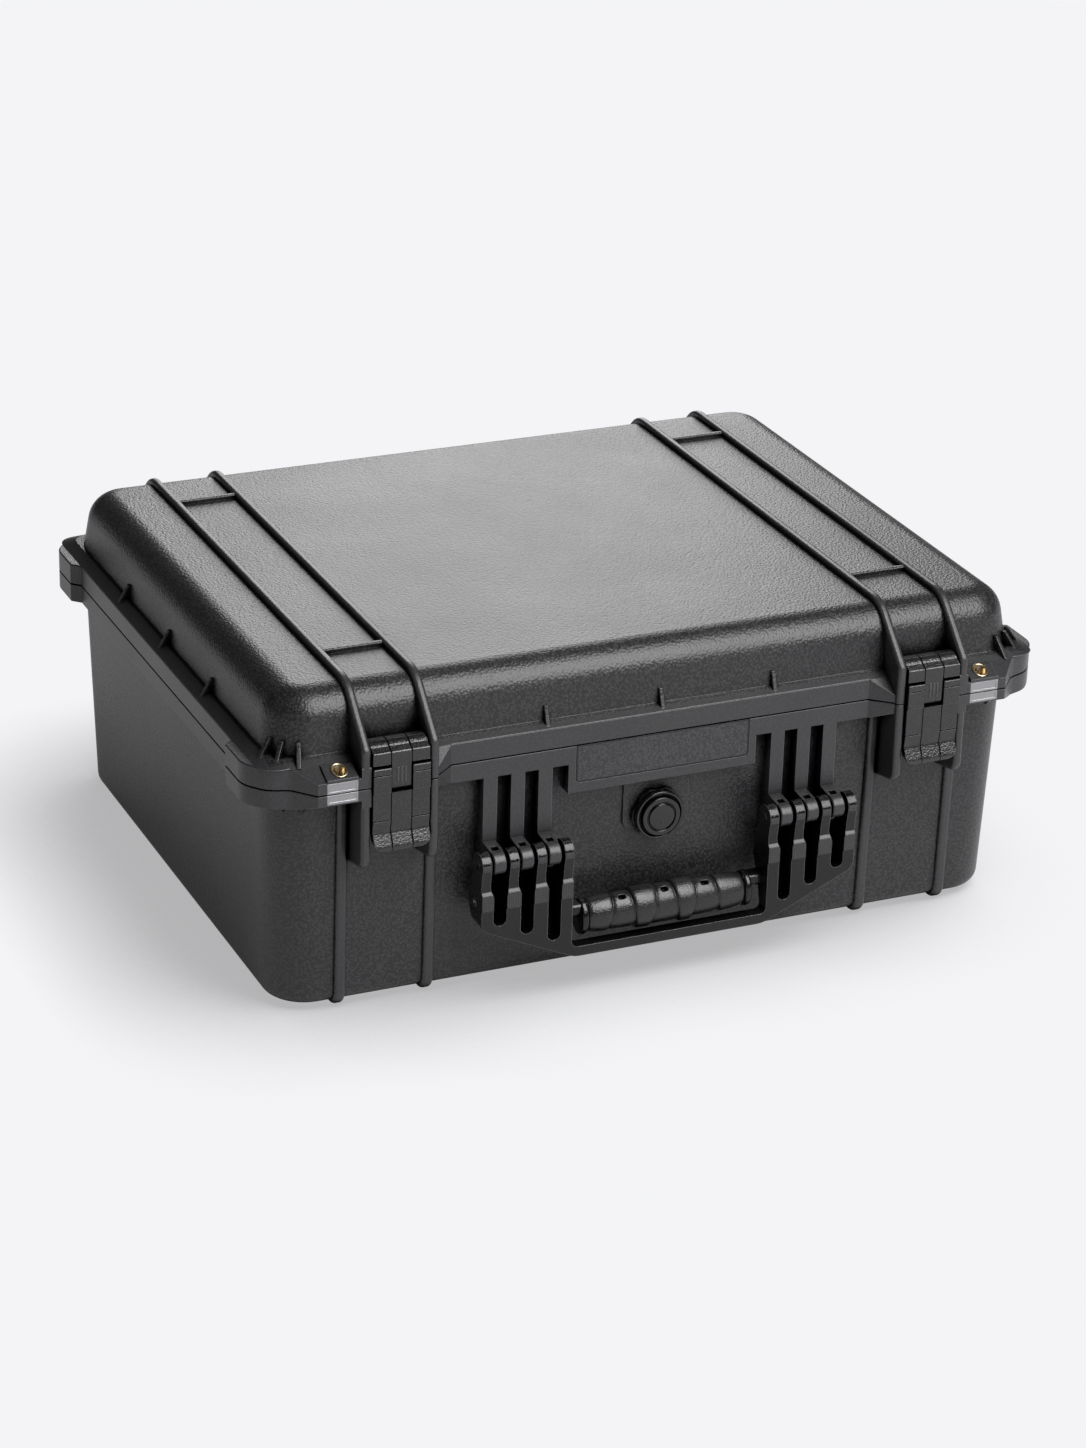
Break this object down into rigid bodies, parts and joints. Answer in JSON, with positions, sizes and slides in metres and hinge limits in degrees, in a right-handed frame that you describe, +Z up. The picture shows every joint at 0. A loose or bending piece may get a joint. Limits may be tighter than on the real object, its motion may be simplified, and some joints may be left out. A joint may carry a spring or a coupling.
{
  "type": "protective hard case",
  "caption": "Rectangular moulded protective hard case with a ribbed hinged lid, compound draw latches, folding carry handle, purge valve and padlock eyes.",
  "frame": {"origin": "middle of the footprint on the floor, under the foot ribs", "axes": "+X along the length to the right seen from the front, +Y to the hinges at the back, +Z up"},
  "size_m": [0.53, 0.437, 0.2132],
  "materials": {
    "case_plastic": "moulded polypropylene copolymer, fine pebble grain",
    "latch_plastic": "moulded glass-filled nylon, satin",
    "handle_plastic": "moulded nylon, semi-gloss",
    "grip_rubber": "over-moulded thermoplastic rubber, satin",
    "seal_rubber": "solid elastomer ring",
    "pin_steel": "ground stainless rod",
    "plate_steel": "brushed stainless sheet",
    "sleeve_brass": "turned brass",
    "valve_plastic": "moulded nylon, gloss",
    "name_plate_plastic": "moulded blank, fine grain"
  },
  "bodies": {
    "base": {"base_shell": "case_plastic", "left_base_padlock_plate": "plate_steel", "left_base_padlock_sleeve": "sleeve_brass", "left_hinge_pin": "pin_steel", "name_plate": "name_plate_plastic", "right_base_padlock_plate": "plate_steel", "right_base_padlock_sleeve": "sleeve_brass", "right_hinge_pin": "pin_steel", "valve_body": "valve_plastic", "valve_gasket": "seal_rubber", "valve_nut": "valve_plastic"},
    "lid": {"lid_shell": "case_plastic", "lid_seal": "seal_rubber", "left_latch_lid_pin": "pin_steel", "left_lid_padlock_plate": "plate_steel", "left_lid_padlock_sleeve": "sleeve_brass", "right_latch_lid_pin": "pin_steel", "right_lid_padlock_plate": "plate_steel", "right_lid_padlock_sleeve": "sleeve_brass"},
    "left_link": {"left_latch_link": "latch_plastic", "left_latch_lever_pin": "pin_steel"},
    "left_lever": {"left_latch_lever": "latch_plastic"},
    "right_link": {"right_latch_link": "latch_plastic", "right_latch_lever_pin": "pin_steel"},
    "right_lever": {"right_latch_lever": "latch_plastic"},
    "handle": {"handle_frame": "handle_plastic", "handle_grip": "grip_rubber", "handle_screws": "pin_steel", "left_handle_pin": "pin_steel", "right_handle_pin": "pin_steel"},
    "valve_knob": {"valve_knob": "valve_plastic"}
  },
  "joints": [
    {"name": "lid_hinge", "type": "hinge", "parent": "base", "child": "lid", "pos_m": [0, 0.2095, 0.1555], "axis": [-1, 0, 0], "range_deg": [0, 105]},
    {"name": "left_link_pivot", "type": "hinge", "parent": "lid", "child": "left_link", "pos_m": [-0.1772, -0.203, 0.1725], "axis": [-1, 0, 0], "range_deg": [0, 90]},
    {"name": "left_lever_pivot", "type": "hinge", "parent": "left_link", "child": "left_lever", "pos_m": [-0.1772, -0.2103, 0.1625], "axis": [-1, 0, 0], "range_deg": [0, 60]},
    {"name": "right_link_pivot", "type": "hinge", "parent": "lid", "child": "right_link", "pos_m": [0.1772, -0.203, 0.1725], "axis": [-1, 0, 0], "range_deg": [0, 90]},
    {"name": "right_lever_pivot", "type": "hinge", "parent": "right_link", "child": "right_lever", "pos_m": [0.1772, -0.2103, 0.1625], "axis": [-1, 0, 0], "range_deg": [0, 60]},
    {"name": "handle_swing", "type": "hinge", "parent": "base", "child": "handle", "pos_m": [0, -0.2107, 0.0925], "axis": [-1, 0, 0], "range_deg": [0, 110]},
    {"name": "valve_turn", "type": "hinge", "parent": "base", "child": "valve_knob", "pos_m": [0, -0.19134, 0.0992], "axis": [0, -1, 0], "range_deg": [0, 270]}
  ]
}
